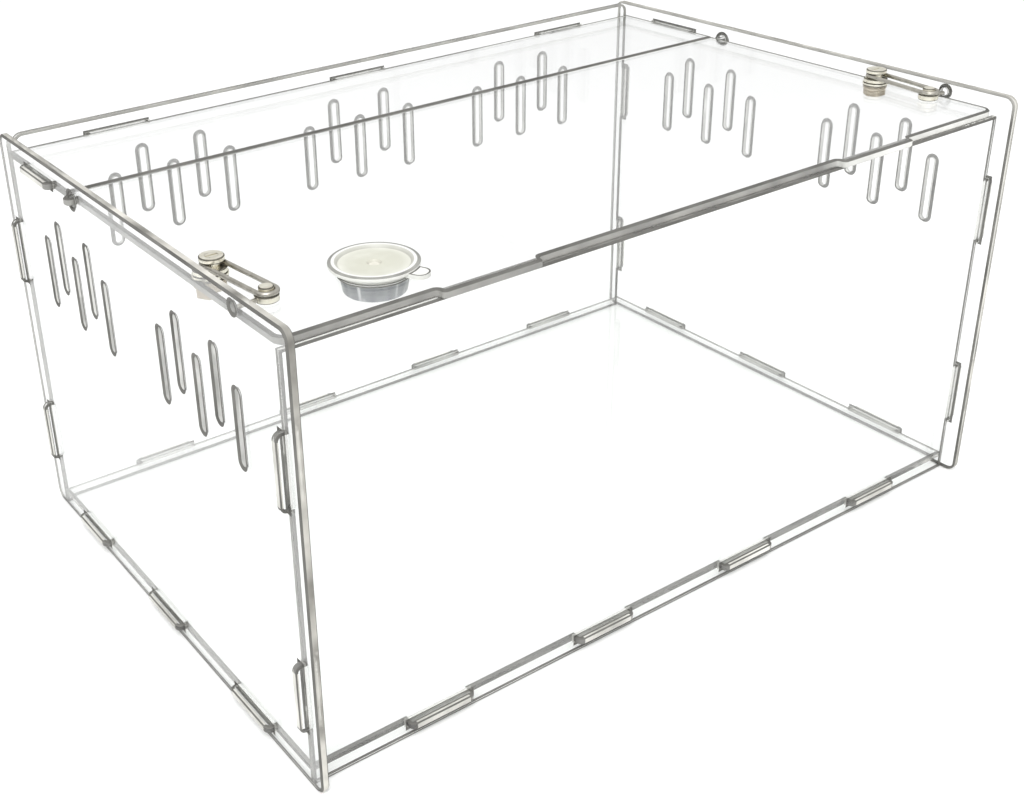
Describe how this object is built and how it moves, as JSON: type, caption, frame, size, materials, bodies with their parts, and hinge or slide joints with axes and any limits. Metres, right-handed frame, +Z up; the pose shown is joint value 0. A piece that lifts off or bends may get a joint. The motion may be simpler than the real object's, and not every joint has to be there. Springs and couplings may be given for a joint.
{
  "type": "acrylic terrarium",
  "caption": "Clear acrylic terrarium of slotted flat panels with staggered air slots, a hinged lid with finger tabs, a feed plug and swing latches.",
  "frame": {"origin": "middle of the footprint, on the ground under the panels' lower edges", "axes": "+X to the right seen from the front, +Y to the back, +Z up"},
  "size_m": [0.305, 0.207, 0.1551],
  "materials": {
    "clear_sheet": "clear polished sheet with cut edges",
    "milky_plug": "milky, half see-through",
    "brass": "polished"
  },
  "bodies": {
    "case": {"left_panel": "clear_sheet", "right_panel": "clear_sheet", "front_panel": "clear_sheet", "back_panel": "clear_sheet", "base_panel": "clear_sheet", "rear_strip": "clear_sheet"},
    "lid": {"lid": "clear_sheet", "left_pivot_screw": "brass", "left_pivot_spacer": "brass", "left_pivot_washer": "brass", "left_pivot_nut": "brass", "right_pivot_screw": "brass", "right_pivot_spacer": "brass", "right_pivot_washer": "brass", "right_pivot_nut": "brass"},
    "plug": {"feed_plug": "milky_plug"},
    "left_latch": {"left_latch_arm": "brass", "left_latch_knob": "brass", "left_latch_stud": "brass", "left_latch_pin": "brass"},
    "right_latch": {"right_latch_arm": "brass", "right_latch_knob": "brass", "right_latch_stud": "brass", "right_latch_pin": "brass"}
  },
  "joints": [
    {"name": "lid_hinge", "type": "hinge", "parent": "case", "child": "lid", "pos_m": [0, 0.0373, 0.14825], "axis": [-1, 0, 0], "range_deg": [0, 150]},
    {"name": "plug_lift", "type": "slide", "parent": "lid", "child": "plug", "axis": [0, 0, 1], "range_m": [0, 0.03]},
    {"name": "left_latch_turn", "type": "hinge", "parent": "lid", "child": "left_latch", "pos_m": [-0.1421, -0.0482, 0.1527], "axis": [0, 0, 1], "range_deg": [-6.5, 40]},
    {"name": "right_latch_turn", "type": "hinge", "parent": "lid", "child": "right_latch", "pos_m": [0.1421, -0.0482, 0.1527], "axis": [0, 0, -1], "range_deg": [-6.5, 40]}
  ]
}
